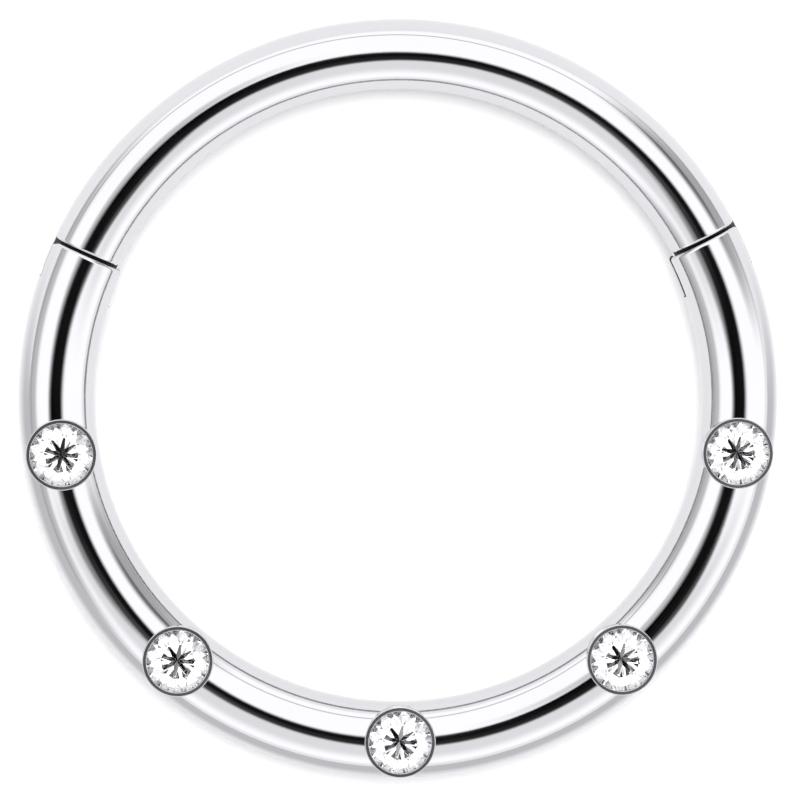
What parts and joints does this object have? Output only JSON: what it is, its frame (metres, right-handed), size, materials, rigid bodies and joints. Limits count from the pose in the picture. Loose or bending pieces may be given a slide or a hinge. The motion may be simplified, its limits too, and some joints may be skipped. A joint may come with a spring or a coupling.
{
  "type": "septum ring",
  "caption": "Hinged segment ring of polished round wire, with cup-set round crystals on its front face and a gate that swings open to pass through a piercing.",
  "frame": {"origin": "on the surface that the ring lies on, under the centre of its hole", "axes": "+Z along the ring's axis, out of the face that carries the stones; +Y towards the middle of the gate; the hinge is on the -X side"},
  "size_m": [0.0126, 0.0126, 0.0014],
  "materials": {
    "polished_steel": "mirror-polished surgical steel",
    "pin_steel": "filed flush and polished",
    "crystal": "clear cut crystal with a bright back"
  },
  "bodies": {
    "ring": {"hoop": "polished_steel", "hinge_pin": "pin_steel", "stone_1": "crystal", "stone_2": "crystal", "stone_3": "crystal", "stone_4": "crystal", "stone_5": "crystal"},
    "gate": {"gate": "polished_steel"}
  },
  "joints": [
    {"name": "gate_hinge", "type": "hinge", "parent": "ring", "child": "gate", "pos_m": [-0.0056, 0.00223, 0.00064], "axis": [0, 0, 1], "range_deg": [0, 95]}
  ]
}
